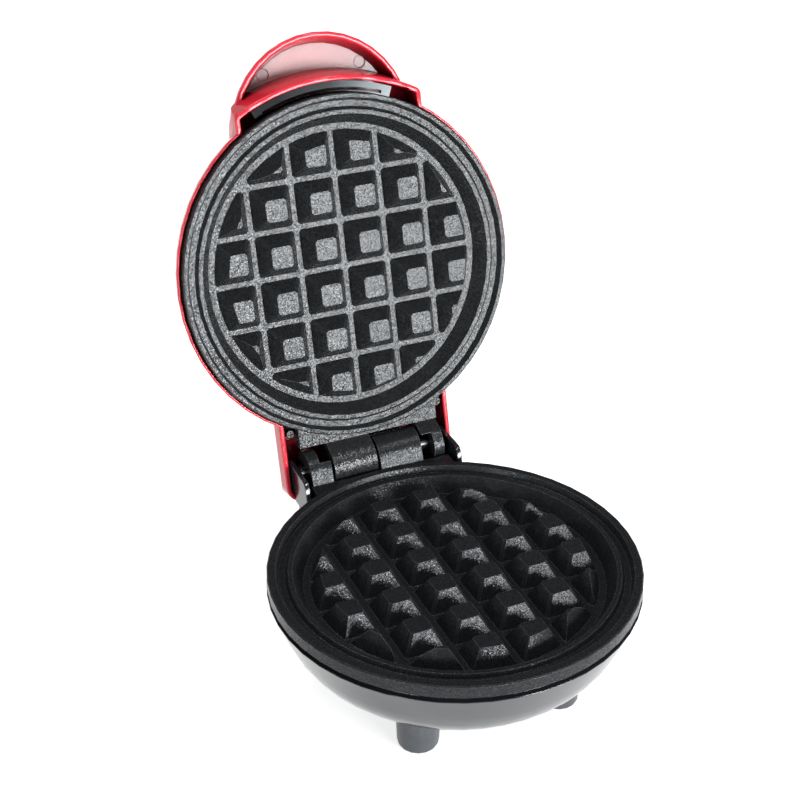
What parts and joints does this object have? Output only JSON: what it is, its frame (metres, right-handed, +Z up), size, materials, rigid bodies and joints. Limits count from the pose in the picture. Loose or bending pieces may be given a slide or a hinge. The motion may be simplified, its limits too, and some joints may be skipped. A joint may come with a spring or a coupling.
{
  "type": "egg waffle maker",
  "caption": "Small round waffle maker on four short feet, its red domed lid hinged open at the back, with square-studded plates and a hollow crescent handle.",
  "frame": {"origin": "middle of the footprint's box, on the surface that the feet stand on", "axes": "+Z up, -Y towards the front, where the handle opens, +X to the right seen from the front; the lid hinges about X at the back"},
  "size_m": [0.121, 0.1816, 0.1852],
  "materials": {
    "red_casing": "high-gloss red moulding",
    "black_casing": "high-gloss black moulding",
    "foot_plastic": "satin black moulding",
    "nonstick_casting": "cast aluminium under a speckled dark grey non-stick coat",
    "steel": "plain steel",
    "element_sheath": "heat-tinted steel sheath",
    "shield_sheet": "bright pressed sheet",
    "red_lens": "clear red lens",
    "lamp_glass": "small neon lamp",
    "bakelite": "dark heat-proof moulding",
    "fuse_sleeve": "glass-fibre sleeve",
    "gland_rubber": "matt black"
  },
  "bodies": {
    "base": {"base_shell": "black_casing", "lower_plate": "nonstick_casting", "lower_heating_element": "element_sheath", "lower_element_clamp": "steel", "lower_heat_shield": "shield_sheet", "lower_heater_screw": "steel", "thermostat": "bakelite", "thermal_fuse": "fuse_sleeve", "terminal_block": "bakelite", "cord_gland": "gland_rubber", "hinge_pin": "steel", "foot_front_left": "foot_plastic", "foot_front_right": "foot_plastic", "foot_rear_left": "foot_plastic", "foot_rear_right": "foot_plastic", "base_screw_1": "steel", "base_screw_2": "steel", "base_screw_3": "steel"},
    "lid": {"lid_shell": "red_casing", "upper_plate": "nonstick_casting", "upper_heating_element": "element_sheath", "upper_element_clamp": "steel", "upper_heat_shield": "shield_sheet", "upper_heater_screw": "steel", "indicator_lens": "red_lens", "indicator_lamp": "lamp_glass", "lid_screw_left": "steel", "lid_screw_right": "steel"}
  },
  "joints": [
    {"name": "lid_hinge", "type": "hinge", "parent": "base", "child": "lid", "pos_m": [0, 0.03798, 0.045], "axis": [1, 0, 0], "range_deg": [0, 104]}
  ]
}
